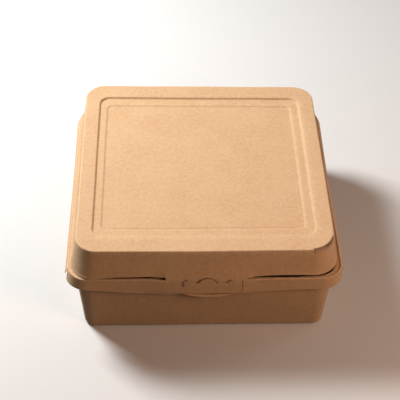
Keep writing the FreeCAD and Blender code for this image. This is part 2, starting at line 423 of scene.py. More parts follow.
def pressedPath(points, bends, runs):
    # A section through the sheet, as (point, how much of a fold it is): runs joined by small bends.
    path = []
    start = points[0]
    for k in range(1, len(points)):
        arc = []
        if k < len(points) - 1:
            length, steps, fold = bends[k - 1]
            arc = bendPoints(points[k - 1], points[k], points[k + 1], length, steps)
        end = arc[0] if arc else points[k]
        path += [(start + (end - start) * share, 0.0) for share in runs[k - 1]]
        if arc:
            path += [(point, fold) for point in arc[:-1]]
            start = arc[-1]
    path.append((points[-1], 0.0))
    return path


def evenShares(count):
    return [k / count for k in range(count)]


def newSheet():
    return {"points": [], "fold": [], "faces": []}


def addColumns(sheet, columns, closed=False, roots=None, back=False):
    # Joins neighbouring columns of points with faces. roots are points of the sheet that start them,
    # and back turns the faces round, for a strip that runs against the rows above it.
    table = []
    for k, column in enumerate(columns):
        indices = [] if roots is None else [roots[k]]
        for point, fold in column:
            indices.append(len(sheet["points"]))
            sheet["points"].append(point)
            sheet["fold"].append(fold)
        table.append(indices)
    pairs = list(zip(table, table[1:])) + ([(table[-1], table[0])] if closed else [])
    for left, right in pairs:
        for low in range(len(left) - 1):
            face = (left[low], right[low], right[low + 1], left[low + 1])
            sheet["faces"].append(face[::-1] if back else face)
    return table


def addRow(sheet, part, roots, pointAt, fold, back=False):
    columns = [[(pointAt(k), fold)] for k in part]
    addColumns(sheet, columns, roots=[roots[k] for k in part], back=back)


def closeMiddle(sheet, rim):
    # Joins the innermost row to one point in its middle.
    middle = np.mean([sheet["points"][k] for k in rim], axis=0)
    sheet["points"].append(middle)
    sheet["fold"].append(0.0)
    centre = len(sheet["points"]) - 1
    for this, following in zip(rim, rim[1:] + rim[:1]):
        sheet["faces"].append((this, following, centre))


def soften(sheet, height, share):
    # Pressed board is never dead flat: a slow unevenness of this height, where share allows it.
    for k, point in enumerate(sheet["points"]):
        x, y, z = point
        amount = share(x, y, z)
        if amount > 0:
            wave = noise.noise_vector(Vector((x / 34, y / 34, z / 26)))
            sheet["points"][k] = point + height * amount * np.array(wave)


def stretch(stations, start, end):
    # Indices of the stations from one to another, going round past the last if need be.
    first, last = stations.index(start), stations.index(end)
    if last < first:
        last += len(stations)
    return [k % len(stations) for k in range(first, last + 1)]


def thickened(sheet):
    # Both faces of the board, each half a thickness from the sheet, and the cut edge that joins them.
    points = np.array(sheet["points"], float)
    normals = np.zeros_like(points)
    faceNormals = []
    for face in sheet["faces"]:
        ends = points[list(face)]
        across = np.cross(ends[2] - ends[0], ends[-1] - ends[1])
        size = np.linalg.norm(across)
        faceNormals.append(across / size if size > 1e-9 else across * 0)
        for corner, vertex in enumerate(face):
            one, two = ends[corner - 1] - ends[corner], ends[(corner + 1) % len(face)] - ends[corner]
            spread = np.linalg.norm(one) * np.linalg.norm(two)
            angle = math.acos(float(np.clip(one @ two / spread, -1, 1))) if spread > 1e-12 else 0.0
            normals[vertex] += angle * faceNormals[-1]
    normals /= np.maximum(np.linalg.norm(normals, axis=1, keepdims=True), 1e-9)
    agree, count = np.zeros(len(points)), np.zeros(len(points))
    used = {}
    for face, normal in zip(sheet["faces"], faceNormals):
        for corner, vertex in enumerate(face):
            agree[vertex] += float(normal @ normals[vertex])
            count[vertex] += 1
            used[vertex, face[(corner + 1) % len(face)]] = True
    reach = board / 2 / np.clip(agree / np.maximum(count, 1), 0.8, 1.0)
    step = normals * reach[:, None]
    both = np.vstack([points + step, points - step])
    size = len(points)
    faces = [tuple(face) for face in sheet["faces"]]
    faces += [tuple(vertex + size for vertex in reversed(face)) for face in sheet["faces"]]
    edges = [(a, b) for a, b in used if (b, a) not in used]
    faces += [(b, a, a + size, b + size) for a, b in edges]
    return both, faces, len(edges)


def faceOutward(mesh):
    shape = bmesh.new()
    shape.from_mesh(mesh)
    bmesh.ops.recalc_face_normals(shape, faces=shape.faces)
    shape.to_mesh(mesh)
    shape.free()


def makeSmooth(mesh):
    mesh.shade_smooth()
    mesh.set_sharp_from_angle(angle=math.radians(38))


def pieceFrom(sheet, name, cutters=()):
    points, faces, cutFaces = thickened(sheet)
    mesh = newMesh(name, [tuple(point * mm) for point in points], faces, kraftBoard, kraftCut)
    for layer in ("fold", "tearAndShade", "lift"):
        values = mesh.attributes.new(layer, "FLOAT", "POINT")
        values.data.foreach_set("value", np.array(sheet[layer] * 2, np.float32))
    kinds = [0] * (len(faces) - cutFaces) + [1] * cutFaces
    mesh.polygons.foreach_set("material_index", kinds)
    piece = addObject(name, mesh)
    for cutter in cutters:
        cut = piece.modifiers.new("cut", "BOOLEAN")
        cut.operation = "DIFFERENCE"
        cut.solver = "EXACT"
        cut.object = cutter
        keepShape(piece)
        bpy.data.objects.remove(cutter)
    faceOutward(piece.data)
    makeSmooth(piece.data)
    print(name, "has", sum(len(face.vertices) - 2 for face in piece.data.polygons), "triangles")
    return piece


def keepShape(piece):
    graph = bpy.context.evaluated_depsgraph_get()
    done = bpy.data.meshes.new_from_object(piece.evaluated_get(graph))
    piece.modifiers.clear()
    old = piece.data
    piece.data = done
    bpy.data.meshes.remove(old)


# tray

tray = {
    "wallDraft": 4.9,  # degrees
    "wallCorner": 15.3,
    "floorBend": 2.65,  # length of each bend, from its corner
    "wave": 0.16,
    "rimSide": 5.1,
    "rimEnd": 4.0,
    "rimBend": 0.8,
    "frontCorner": 18.0,
    "backCorner": 27.0,
    "edgeBend": 0.8,
    "sideHollow": {-1: 0.4, 1: 0.8},  # how far each side of the rim is bent in, at its middle
    "hollowAt": 12,
    "hollowHalf": 85,
    "rimSunk": 2.3,  # how far the front rim lies below its own edge
    "rimHeld": 0.55,  # share of that which is missing round the right corner
    "sunkEdge": (0.6, 1.4),  # it begins this far inside the edge, and ends down in the wall
    "sunkWall": (10, 17),
    "bandDrop": 15.0,
    "bandSag": 0.5,  # its foot hangs lower round and left of the tab
    "sagAt": -15,
    "bandFlare": 0.7,
    "bandClimb": {-1: (62, 98, 4.4), 1: (30, 90, 3.0)},  # its foot climbs at each end: from, to, rise
    "bandSplay": {-1: 1.5, 1: 0.6},  # how far each end stands out
    "bandWrap": 75.4,  # degrees round each front corner
    "flushRise": {-1: 1.95, 1: 1.4},  # beside the tab the band swells out to lie level with it
    "flushGap": {-1: 0.05, 1: 0.25},
    "flushRun": 24.0,
    "flushLost": {-1: 0.1, 1: 0.35},  # share of the swell that the rim lacks
    "lipDrop": 4.0,
    "lipFlare": 1.9,
    "lipWrap": 62.0,  # degrees round each back corner
    "lipStart": 75.7,  # degrees, which leaves a notch between the band and the lip
    "earDrop": {-1: 0.4, 1: 1.2},  # a lip is deeper at its blunt front end
    "earSplay": {-1: 0.4, 1: 0.0},
    "earRun": 14.0,
    "thumbHalf": 27.0,
    "thumbReach": 0.9,
    "thumbShift": 3.5,
    "thumbDrop": 4.5,
    "thumbBend": 0.45,
    "grooveDepth": 1.8,  # of the groove between it and the band
    "grooveAt": 0.40,  # share of the drop
    "grooveHalf": 0.17,
    "tabShadowShade": 0.6,  # and how dark the painted shadow line in it is, below the tab's foot
    "tabShadowAt": 0.47,
    "tabShadowHalf": 0.13,
}


def trayRings():
    rimHalfWidth = trayHigh.x - tray["lipFlare"]
    rimHalfDepth = trayHigh.y
    mouthHalfWidth = rimHalfWidth - tray["rimSide"]
    mouthHalfDepth = rimHalfDepth - tray["rimEnd"]
    lean = math.tan(math.radians(tray["wallDraft"]))
    skin = board / 2 / math.cos(math.radians(tray["wallDraft"]))
    top = trayHigh.z - board / 2

    def wall(height):
        inset = (trayHigh.z - height) * lean + skin
        return ring(mouthHalfWidth - inset, mouthHalfDepth - inset,
                    tray["wallCorner"] - inset, tray["wallCorner"] - inset, height)

    middle = ring(14.0, 15.0, 4.0, 4.0, board / 2)
    edge = ring(rimHalfWidth - board / 2, rimHalfDepth - board / 2,
                tray["frontCorner"] - board / 2, tray["backCorner"] - board / 2, top)
    return middle, wall(board / 2), wall(top), edge


def thumbShare(x):
    # The thumb lip's outline, a little right of the middle.
    return max(1 - ((x - tray["thumbShift"]) / (tray["thumbHalf"] - tray["thumbShift"])) ** 2, 0.0)


def thumbFall(share):
    return max(tray["thumbDrop"] * share, 0.15)


def makeTray():
    tabSide = [18 + 0.5 * k for k in range(19)]
    frontPlaces = [-70, -60, -50, -42, -38, -34, -31, -29, -28, -27.8, -27.55]
    frontPlaces += [-x for x in reversed(tabSide)] + [float(x) for x in range(-17, 18)] + tabSide
    frontPlaces += [27.5, 28, 28.5, 29, 29.5, 30, 30.3, 30.6, 30.9, 31.4, 32, 34, 38, 42, 50, 60, 70]
    front = [-1, -0.93, -0.86] + [shareAt(x) for x in frontPlaces] + [0.86, 0.93, 1]
    back = [-1, -0.94, -0.88] + middlePlaces + [0.88, 0.94, 1]
    wrap, lipStart, lipEnd = tray["bandWrap"], tray["lipStart"], tray["lipWrap"]
    frontRight = sorted(set(evenAngles) - {75.0} | {wrap, lipStart})
    frontLeft = sorted(90 - angle for angle in frontRight)
    backRight = sorted(set(evenAngles) - {63.0} | {lipEnd})
    backLeft = sorted(90 - angle for angle in backRight)
    stations = stationsFrom(front, sidePlaces, back, {
        "frontRight": frontRight, "backRight": backRight, "backLeft": backLeft, "frontLeft": frontLeft})

    middle, foot, mouth, edge = trayRings()
    sheet = newSheet()
    columns = []
    for station in stations:
        rows = pressedPath(
            [spotOn(outline, station) for outline in (middle, foot, mouth, edge)],
            [(tray["floorBend"], 8, 0.35), (tray["rimBend"], 5, 0.7)],
            [evenShares(7), evenShares(12), evenShares(8)])
        point, _ = rows[-1]
        before, _ = rows[-2]
        towards = (point - before) / np.linalg.norm(point - before)
        rows[-1] = (point - towards * tray["edgeBend"], 0.3)
        columns.append(rows)
    table = addColumns(sheet, columns, closed=True)
    closeMiddle(sheet, [column[0] for column in table][::-1])
    outermost = [column[-1] for column in table]

    def lowered(outline, station, drop, flare):
        return spotOn(grown(outline, flare, outline[4] - drop), station)

    def edgeRows(k, foot, steps, runs):
        # the bend at the rim's edge and the strip below it, without the row that is in the sheet already
        start = sheet["points"][outermost[k]]
        turn = spotOn(edge, stations[k])
        return pressedPath([start, turn, foot], [(tray["edgeBend"], steps, 0.9)], [[0.0], runs])[2:]

    # the front band, whose foot bows up towards its ends
    bandRange = stretch(stations, ("frontLeft", 90 - wrap), ("frontRight", wrap))

    def bandFootAt(k):
        x, y, _ = spotOn(edge, stations[k])
        end = math.copysign(1, x)
        start, stop, climb = tray["bandClimb"][end]
        climb *= smooth(abs(x), start, stop) * (1 - 0.22 * smooth(-y, 115, 100))
        splay = tray["bandSplay"][end] * smooth(abs(x), 70, 112)
        sag = tray["bandSag"] * (1 - smooth(abs(x - tray["sagAt"]), 20, 60))
        drop = tray["bandDrop"] - board / 2 - climb + sag
        return lowered(edge, stations[k], drop, tray["bandFlare"] + splay)

    bandColumns = []
    for k in bandRange:
        foot = bandFootAt(k)
        rows = edgeRows(k, foot, 6, evenShares(14))
        before, _ = rows[-2]
        towards = (foot - before) / np.linalg.norm(foot - before)
        rows[-1] = (foot - towards * tray["thumbBend"], 0.0)
        bandColumns.append(rows)
    bandTable = addColumns(sheet, bandColumns, roots=[outermost[k] for k in bandRange])
    bandFoot = {k: column[-1] for k, column in zip(bandRange, bandTable)}

    thumbStart, thumbEnd = ("front", shareAt(-tray["thumbHalf"])), ("front", shareAt(tray["thumbHalf"]))
    addRow(sheet, stretch(stations, ("frontLeft", 90 - wrap), thumbStart), bandFoot, bandFootAt, 0.2)
    addRow(sheet, stretch(stations, thumbEnd, ("frontRight", wrap)), bandFoot, bandFootAt, 0.2)

    # the thumb lip, a crescent that hangs down in front of the wall
    thumbRange = stretch(stations, thumbStart, thumbEnd)
    thumbColumns = []
    for k in thumbRange:
        foot = bandFootAt(k)
        share = thumbShare(foot[0])
        column = []
        for down in evenShares(14) + [1.0]:
            groove = hump(down, tray["grooveAt"], tray["grooveHalf"]) * tray["grooveDepth"]
            groove *= smooth(share, 0.1, 0.7)
            out = tray["thumbReach"] * math.sqrt(share) * down
            fall = thumbFall(share) * down
            column.append((foot + np.array((0, groove - out, -fall)), 0.3 if down == 1 else 0.0))
        thumbColumns.append(column)
    addColumns(sheet, thumbColumns, roots=[bandFoot[k] for k in thumbRange])

    # the slanted side lips, with deeper, blunt front ends
    earStart = spotOn(edge, ("frontRight", lipStart))[1]

    def lip(start, end, sign):
        part = stretch(stations, start, end)
        lipColumns = []
        for k in part:
            y = spotOn(edge, stations[k])[1]
            ear = 1 - smooth(y, earStart, earStart + tray["earRun"]) if y < 0 else 0.0
            flare = tray["lipFlare"] + tray["earSplay"][sign] * ear
            drop = tray["lipDrop"] + tray["earDrop"][sign] * ear - board / 2
            foot = lowered(edge, stations[k], drop, flare)
            if stations[k][0] in ("frontRight", "frontLeft"):
                foot[0] = sign * (edge[0] + flare)
            lipColumns.append(edgeRows(k, foot, 5, evenShares(3)))
        addColumns(sheet, lipColumns, roots=[outermost[k] for k in part])

    lip(("frontRight", lipStart), ("backRight", lipEnd), 1)
    lip(("backLeft", 90 - lipEnd), ("frontLeft", 90 - lipStart), -1)

    # the rim's plain cut edge: at the notches, and along the back
    def plainEdgeAt(k):
        return spotOn(grown(edge, board / 2, edge[4]), stations[k])

    for start, end in ((("frontRight", wrap), ("frontRight", lipStart)),
                       (("frontLeft", 90 - lipStart), ("frontLeft", 90 - wrap)),
                       (("backRight", lipEnd), ("backLeft", 90 - lipEnd))):
        addRow(sheet, stretch(stations, start, end), outermost, plainEdgeAt, 0.2)

    shapeTray(sheet)
    piece = pieceFrom(sheet, "kraftTray")
    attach(piece, "tray")
    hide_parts("base_tray")


def shapeTray(sheet):
    # What the rings don't have: bent-in sides, the band's swell beside the tab, and the sunk rim.
    soften(sheet, tray["wave"], lambda x, y, z: smooth(trayHigh.z - 1.0 - z, 0, 12) * smooth(z, 1, 12))
    footHeight, tabTip = lidHigh.z - lid["wallRise"], lidLow.z + tab["footRise"]
    lowest = trayHigh.z - tray["bandDrop"] - tray["bandSag"]
    rimSide, rimEnd, corner = trayHigh.x - tray["lipFlare"], trayHigh.y, tray["frontCorner"]
    count = len(sheet["points"])
    sheet["tearAndShade"], sheet["lift"] = [0.0] * count, [0.0] * count
    for k, point in enumerate(sheet["points"]):
        x, y, z = point
        side = math.copysign(1, x)
        # painted shadow: a dark line across the thumb lip just below the tab's foot
        if abs(x - tray["thumbShift"]) < tray["thumbHalf"] and y < 5 - rimEnd and 46 < z < lowest - 0.1:
            share = thumbShare(x)
            shadowed = hump((lowest - z) / thumbFall(share), tray["tabShadowAt"], tray["tabShadowHalf"])
            sheet["tearAndShade"][k] = tray["tabShadowShade"] * smooth(share, 0.1, 0.4) * shadowed
        hollow = max(0.0, 1 - ((y - tray["hollowAt"]) / tray["hollowHalf"]) ** 2) ** 2
        hollow *= smooth(abs(x), 104, 112) * smooth(z, 50, 62)
        point[0] -= side * tray["sideHollow"][side] * hollow
        tabEdge = tabHalfWidth(min(z, footHeight - tab["rootRadius"]), footHeight, tabTip)
        beside = side * (x - lid["frontShift"]) - tabEdge - tray["flushGap"][side] * smooth(z, 55, 60)
        flush = smooth(beside, 0, 0.4) * (1 - smooth(beside, 1.5, tray["flushRun"]))
        flush *= smooth(-y, 112.5, 116.5) * (1 - tray["flushLost"][side] * smooth(z, 62, 67))
        flush *= smooth(z, lowest, lowest + 1.5) if abs(x) < tray["thumbHalf"] else smooth(z, 46, 54)
        point[1] -= tray["flushRise"][side] * flush
        inside = min(rimSide - abs(x), rimEnd + y)
        if abs(x) > rimSide - corner and y < corner - rimEnd:
            inside = corner - math.hypot(abs(x) - rimSide + corner, y + rimEnd - corner)
        sunk = smooth(inside, *tray["sunkEdge"]) * (1 - smooth(inside, *tray["sunkWall"]))
        sunk *= 1 - smooth(abs(x), 70, 100) * (tray["rimHeld"] if x > 0 else 1.0)
        sunk *= smooth(-y, 30, 75) if x > 0 else smooth(-y, 100, 107)
        point[2] -= tray["rimSunk"] * sunk * smooth(z, 56, 66)


# lid

lid = {
    "wallRise": 26.0,
    "wallFlare": 4.0,
    "footSide": 3.6,  # foot of the wall inside the rim's edge
    "footEnd": 2.6,
    "footCorner": 22.0,
    "topCorner": 18.0,
    "footKick": 0.35,  # the last of the wall turns out a little
    "kickRise": 3.4,
    "creaseBend": 1.0,
    "borderSide": 13.0,
    "borderEnd": 17.5,
    "outerCorner": 10.0,
    "outerDrop": 1.8,
    "ledgeSide": 7.5,
    "ledgeEnd": 10.3,
    "innerCorner": 5.0,
    "innerDrop": 0.8,
    "stepRun": 1.3,
    "stepBend": 0.7,
    "wave": 0.22,
    "sag": 0.7,  # the front crease hangs a little at its middle
    "swell": 4.1,  # the wall reaches out over the front band here
    "swellRise": 14.0,
    "swellHalf": 31.4,
    "swellEnd": 40.0,
    "footForward": 2.5,  # the front wall leans out at its foot
    "cornerForward": {-1: 2.6, 1: 0.0},
    "footGap": 1.6,  # and stands a little off the rim beside the tab
    "gapMore": 0.8,  # and further off beyond that
    "gapFrom": {-1: 33.2, 1: 31.8},
    "gapRun": 1.6,
    "gapBlend": 9.0,
    "notchAt": -34.9,  # with a small nick at the tab's left root
    "notchRise": 0.9,
    "notchHalf": 1.1,
    "footTurn": 0.75,  # the front foot lies a little skew: further in at the right
    "frontShift": 1.3,  # and the closing tab is a little right of the middle
    "panelShift": -1.2,  # the recess is a little left of it
    "frontSteep": 0.75,  # its front steps are steeper than the others
    "frontGroove": 0.9,
    "grooveHalf": 1.3,
    "backTurn": -0.0157,  # and the back edge of the top is not quite square
    "foldHalf": 82.0,
    "flapBend": 0.6,
}

tab = {
    "gap": 0.9,  # in front of the band
    "foldRun": 4.5,  # it curves out of the wall over this height
    "halfWidth": 28.8,
    "rootRadius": 2.0,
    "footRadius": 6.0,
    "footRise": 0.9,
    "lean": 0.7,
    "moonWidth": 17.1,
    "moonRise": 5.1,
    "moonSlit": (0.765, 1.19),  # its width at the right and left ends
    "moonEnds": 2.8,  # below the rim
    "scoreDepth": 0.28,
    "scoreHalf": 0.45,
    "dentAt": {-1: -16.8, 1: 19.2},
    "dentBelow": 3.6,
    "dentRadius": 3.7,
    "dentDepth": 1.15,
    "dentEdge": 0.7,  # width of a dent's steep side
    "dentShadeArcs": {-1: (88, 222), 1: (92, 166)},  # painted shade lies along each dent's steep side between these degrees
    "cutShadeStrength": 1.0,  # how dark the painted shade along the slit and the dents' steep sides is
    "cutShadeHalf": 0.9,
    "moonSink": 0.15,  # its tongue is pressed in
}

tearAndShade = {  # a cracked stretch of the crease at the front right corner, its groove painted dark: torn fibres and painted shade
    "corner": 20.5,  # that corner is rounder than the others
    "from": -84.7,  # degrees round its middle
    "neck": -58.0,  # a little narrower here
    "neckShare": 0.12,
    "to": 2.0,
    "fade": 26,
    "inside": 0.75,
    "width": 0.85,
    "ragged": 0.35,
    "depth": 0.6,
    "lipRise": 0.06,
    "lift": 0.15,  # how far its lips have rubbed pale
}


def lidRings():
    footHalfWidth = trayHigh.x - tray["lipFlare"] - lid["footSide"]
    footHalfDepth = trayHigh.y - lid["footEnd"]
    footHeight = lidHigh.z - lid["wallRise"]
    skin = board / 2 / math.cos(math.atan2(lid["wallFlare"], lid["wallRise"]))
    top = lidHigh.z - board / 2

    def wall(height):
        share = (height - footHeight) / lid["wallRise"]
        inset = lid["wallFlare"] * share + skin
        corner = lid["footCorner"] + (lid["topCorner"] - lid["footCorner"]) * share - skin
        return ring(footHalfWidth - inset, footHalfDepth - inset, corner, corner, height)

    crown = ring(footHalfWidth - lid["wallFlare"], footHalfDepth - lid["wallFlare"], 0, 0, top)

    def panel(side, end, corner, drop):
        return ring(crown[0] - side, crown[1] - end, corner, corner, top - drop)

    run = lid["stepRun"]
    side, end = lid["borderSide"], lid["borderEnd"]
    innerSide, innerEnd = side + lid["ledgeSide"], end + lid["ledgeEnd"]
    outerDrop, drop = lid["outerDrop"], lid["outerDrop"] + lid["innerDrop"]
    return [
        wall(footHeight + 1.1),
        wall(top),
        panel(side, end, lid["outerCorner"], 0),
        panel(side + run, end + run, lid["outerCorner"] - run, outerDrop),
        panel(innerSide, innerEnd, lid["innerCorner"], outerDrop),
        panel(innerSide + run, innerEnd + run, lid["innerCorner"] - run, drop),
        ring(12.0, 10.0, 4.0, 4.0, top - drop),
    ], wall(footHeight)


def tabHalfWidth(height, footHeight, tip):
    root, foot = tab["rootRadius"], tab["footRadius"]
    if height > footHeight - root:
        rise = height - (footHeight - root)
        return tab["halfWidth"] + root - math.sqrt(max(root ** 2 - rise ** 2, 0))
    if height < tip + foot:
        fall = tip + foot - height
        return tab["halfWidth"] - foot + math.sqrt(max(foot ** 2 - fall ** 2, 0))
    return tab["halfWidth"]


def makeLid():
    tabReach = tab["halfWidth"] + tab["rootRadius"]
    tabPlaces = [k * 0.5 for k in range(-61, 62)]
    besideTab = [tabReach, 31.4, 32, 32.6, 33.2, 33.8, 34.4, 35, 35.7, 36.8, 38.5, 41, 44, 48, 54, 62, 70]
    frontPlaces = [-x for x in reversed(besideTab)] + tabPlaces + besideTab
    front = [-1, -0.93, -0.86] + [shareAt(x) for x in frontPlaces]
    front += [0.86, 0.91, 0.945, 0.965, 0.98, 0.99, 1]
    rings, foot = lidRings()
    backStraight = foot[0] - foot[3]
    foldShare = trueShare + (lid["foldHalf"] - trueReach) / (backStraight - trueReach) * (1 - trueShare)
    back = [-1, -foldShare] + middlePlaces + [foldShare, 1]
    angles = dict.fromkeys(cornerTurns, evenAngles) | {"frontRight": [k * 1.5 for k in range(61)]}
    stations = stationsFrom(front, sidePlaces, back, angles)

    footHeight = foot[4]
    wallRun = [k / 24.9 for k in (0, 0.5, 1.1, 1.9, 2.9, 4.1, 5.6, 7.3, 9.1, 11.5, 14.5, 18, 21.5)]
    borderRun = [0, 0.022, 0.044, 0.07, 0.1, 0.16, 0.4, 0.7]
    panelRun = [0, 0.008, 0.016, 0.026, 0.05, 0.2, 0.4, 0.6, 0.8]
    sheet = newSheet()
    columns = []
    for station in stations:
        columns.append(pressedPath(
            [spotOn(outline, station) for outline in rings],
            [(lid["creaseBend"], 8, 0.8)] + [(lid["stepBend"], 3, 0.35)] * 4,
            [wallRun, borderRun, evenShares(1), evenShares(3), evenShares(1), panelRun]))
    table = addColumns(sheet, columns, closed=True)
    closeMiddle(sheet, [column[-1] for column in table])
    lowest = [column[0] for column in table]

    def footAt(k):
        return spotOn(foot, stations[k])

    leftRoot, rightRoot = ("front", shareAt(-tabReach)), ("front", shareAt(tabReach))
    leftFold, rightFold = ("back", foldShare), ("back", -foldShare)
    addRow(sheet, stretch(stations, rightRoot, rightFold), lowest, footAt, 0.3, back=True)
    addRow(sheet, stretch(stations, leftFold, leftRoot), lowest, footAt, 0.3, back=True)

    # the closing tab
    tip = lidLow.z + tab["footRise"]
    tabTop = -trayHigh.y - tab["gap"] - board / 2
    wallSlope = (lid["wallFlare"] + lid["footForward"]) / lid["wallRise"] - tab["lean"] / tray["bandDrop"]
    heights = [footHeight - step for step in (0, 0.25, 0.6, 1.0, 1.5, 2.0)]
    corner = tab["footRadius"]
    heights += list(np.linspace(footHeight - 2.5, tip + corner, 13))
    heights += [tip + corner * (1 - math.sin(math.radians(angle))) for angle in range(6, 91, 6)]
    tabRange = stretch(stations, leftRoot, rightRoot)
    tabColumns = []
    for k in tabRange:
        across = footAt(k)[0]
        rows = []
        for height in heights:
            x = across * tabHalfWidth(height, footHeight, tip) / tabReach
            y = tabTop - tab["lean"] * (trayHigh.z - height) / tray["bandDrop"]
            left = 1 - min((footHeight - height) / tab["foldRun"], 1)
            y -= wallSlope * tab["foldRun"] / 2 * (1 - left * left)
            fold = 0.25 if height == footHeight else 0.0
            rows.append((np.array((x, y, height)), fold))
        tabColumns.append(rows)
    before = len(sheet["points"])
    addColumns(sheet, tabColumns, roots=[lowest[k] for k in tabRange], back=True)
    tabPoints = range(before, len(sheet["points"]))

    # the flap at the back, out to the fold
    flapHeight = footHeight + board / 2
    flapRange = stretch(stations, rightFold, leftFold)
    flapColumns = []
    for k in flapRange:
        above = sheet["points"][lowest[k]]
        x, y, _ = footAt(k)
        turn = np.array((x, y, flapHeight))
        out = np.array((x, trayHigh.y, flapHeight))
        rows = pressedPath([above, turn, out], [(lid["flapBend"], 4, 0.6)], [[0.0], evenShares(1)])
        flapColumns.append(rows[1:])
    addColumns(sheet, flapColumns, roots=[lowest[k] for k in flapRange], back=True)

    shapeLid(sheet, footHeight, tabPoints)
    piece = pieceFrom(sheet, "kraftLid", [moonCutter()])
    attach(piece, "lid")
    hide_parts("lid")


def shapeLid(sheet, footHeight, tabPoints):
    # Everything that isn't a plain ring: the wall's lean, the sag, the tab's relief and the right corner.
    count = len(sheet["points"])
    sheet["tearAndShade"], sheet["lift"] = [0.0] * count, [0.0] * count
    rings, _ = lidRings()
    crown, stepFeet = rings[2], (rings[3][1], rings[5][1])
    cornerX = crown[0] + lid["borderSide"] - tearAndShade["corner"]
    cornerY = -(crown[1] + lid["borderEnd"] - tearAndShade["corner"])
    crease = tearAndShade["corner"] - tearAndShade["inside"]
    pulled = (math.sqrt(2) - 1) * (tearAndShade["corner"] - lid["topCorner"])
    for k, point in enumerate(sheet["points"]):
        x, y, z = point
        if k in tabPoints:
            point[1] += tabRelief(x, z)
            # painted shade on the tab, along the slit and the dents
            sheet["tearAndShade"][k] = cutShade(x, z)
            continue
        if z < lidHigh.z - 2.0 and (abs(x) > 100 or abs(y) > 100):
            leanWall(point, footHeight)
        if z > footHeight + 4:
            rise = smooth(z, footHeight + 4, lidHigh.z)
            point[2] -= lid["sag"] * rise * max(0.0, 1 - (x / 96) ** 2) * smooth(-y, -60, 110)
        if x > cornerX and y < cornerY and z > footHeight:
            radial, along = math.hypot(x - cornerX, y - cornerY), math.atan2(y - cornerY, x - cornerX)
            inward = np.array((-math.cos(along), -math.sin(along), 0.0))
            share = smooth(radial, crease - 6, crease - 1) * smooth(z, footHeight + 3, lidHigh.z - 3)
            point += inward * pulled * math.sin(2 * along) ** 2 * share
            if z > lidHigh.z - 2.0:
                tearCrease(sheet, k, (cornerX, cornerY), crease, inward)
    soften(sheet, lid["wave"], lambda x, y, z: smooth(z, footHeight + 5, footHeight + 14))
    for point in sheet["points"]:
        settle(point, footHeight, stepFeet)


def leanWall(point, footHeight):
    # The wall turns out at its foot, leans out at the front, and swells over the front band.
    x, y, z = point
    down = (lidHigh.z - z) / lid["wallRise"]
    if y < 100:
        kick = lid["footKick"] * (1 - smooth(z, footHeight, footHeight + lid["kickRise"]))
        clear = smooth(abs(x), 66, 100) if y < -100 else 1 - smooth(y, 70, 105)
        point += np.array((x, y, 0.0)) / max(abs(x), abs(y)) * kick * clear
    corner = lid["cornerForward"][math.copysign(1, x)] * smooth(abs(x), 78, 96) * smooth(-y, 84, 100) * down
    point += corner * np.array((math.copysign(0.6, x), -0.8, 0))
    if y < -100:
        point[1] -= lid["footForward"] * (1 - smooth(abs(x), 70, 106)) * down
        share = max((footHeight + lid["swellRise"] - z) / lid["swellRise"], 0.0)
        lean = share * share / 0.6 if share < 0.3 else share - 0.15
        lean = min(lean / 0.85, 1.0) * (1 - smooth(abs(x), lid["swellHalf"], lid["swellEnd"]))
        point[1] -= lean * (lid["swell"] - lid["footForward"])


def tearCrease(sheet, k, middle, crease, inward):
    # The board is split along its crease: a ragged groove between lifted lips, painted dark with torn
    # fibres and painted shade.
    x, y, _ = sheet["points"][k]
    degrees = math.degrees(math.atan2(y - middle[1], x - middle[0]))
    off = math.hypot(x - middle[0], y - middle[1]) - crease
    strength = smooth(degrees, tearAndShade["from"] - 1.2, tearAndShade["from"] + 1.2)
    strength *= 1 - smooth(degrees, tearAndShade["to"] - tearAndShade["fade"], tearAndShade["to"])
    strength *= 1 - tearAndShade["neckShare"] * hump(degrees, tearAndShade["neck"], 5)
    ragged = 1 + tearAndShade["ragged"] * noise.noise(Vector((x * 0.9, y * 0.9, 3.1)))
    width = tearAndShade["width"] * (0.6 + 0.4 * strength) * ragged
    groove, raised = hump(off, 0, width), hump(abs(off), 2.3 * width, 0.9 * width)
    push = strength * (tearAndShade["depth"] * groove - tearAndShade["lipRise"] * raised)
    sheet["points"][k] += (inward * 0.5 + np.array((0, 0, -0.85))) * push
    # torn fibres and painted shade in the groove
    sheet["tearAndShade"][k] = min(1.0, 1.15 * strength * groove)
    sheet["lift"][k] = tearAndShade["lift"] * strength * raised


def settle(point, footHeight, stepFeet):
    # The foot line, the recess and the back edge lie a little off square.
    x, y, z = point
    front = smooth(-y, 98, 112)
    low = 1 - smooth(z, footHeight + 2, footHeight + 20)
    point[1] += lid["footTurn"] * x / 85 * front * low * smooth(abs(x), lid["swellEnd"], 60)
    point[0] += lid["frontShift"] * front * (1 - smooth(abs(x), 45, 90))
    if z < footHeight + lid["gapBlend"] and front > 0:
        notch = lid["notchRise"] * hump(x, lid["notchAt"], lid["notchHalf"])
        gap = lid["footGap"] * smooth(abs(x) - lid["gapFrom"][math.copysign(1, x)], 0, lid["gapRun"])
        gap = (gap + lid["gapMore"] * smooth(abs(x), 36, 50)) * (1 - smooth(abs(x), 70, 104))
        rise = (gap + notch) * front * (1 - smooth(z, footHeight + 0.5, footHeight + lid["gapBlend"]))
        point[2] += rise
        point[1] += rise * (lid["wallFlare"] + lid["footForward"]) / lid["wallRise"]
    if z > lidHigh.z - 5:
        for stepFoot in stepFeet if y < 0 else ():
            inside = y + stepFoot
            steep = smooth(inside, -lid["stepRun"], 0) * (1 - smooth(inside, 0, 5))
            point[1] -= lid["frontSteep"] * steep
        if y < 0:
            groove = 1 - smooth(abs(y + stepFeet[1]), 0, lid["grooveHalf"])
            point[2] -= lid["frontGroove"] * groove * (1 - smooth(abs(x), 74, 82))
        point[0] += lid["panelShift"] * (1 - smooth(abs(x), 78, 102)) * (1 - front)
    if z > footHeight + 2:
        point[1] += lid["backTurn"] * x * smooth(y, -20, 110) * smooth(z, footHeight + 2, lidHigh.z)


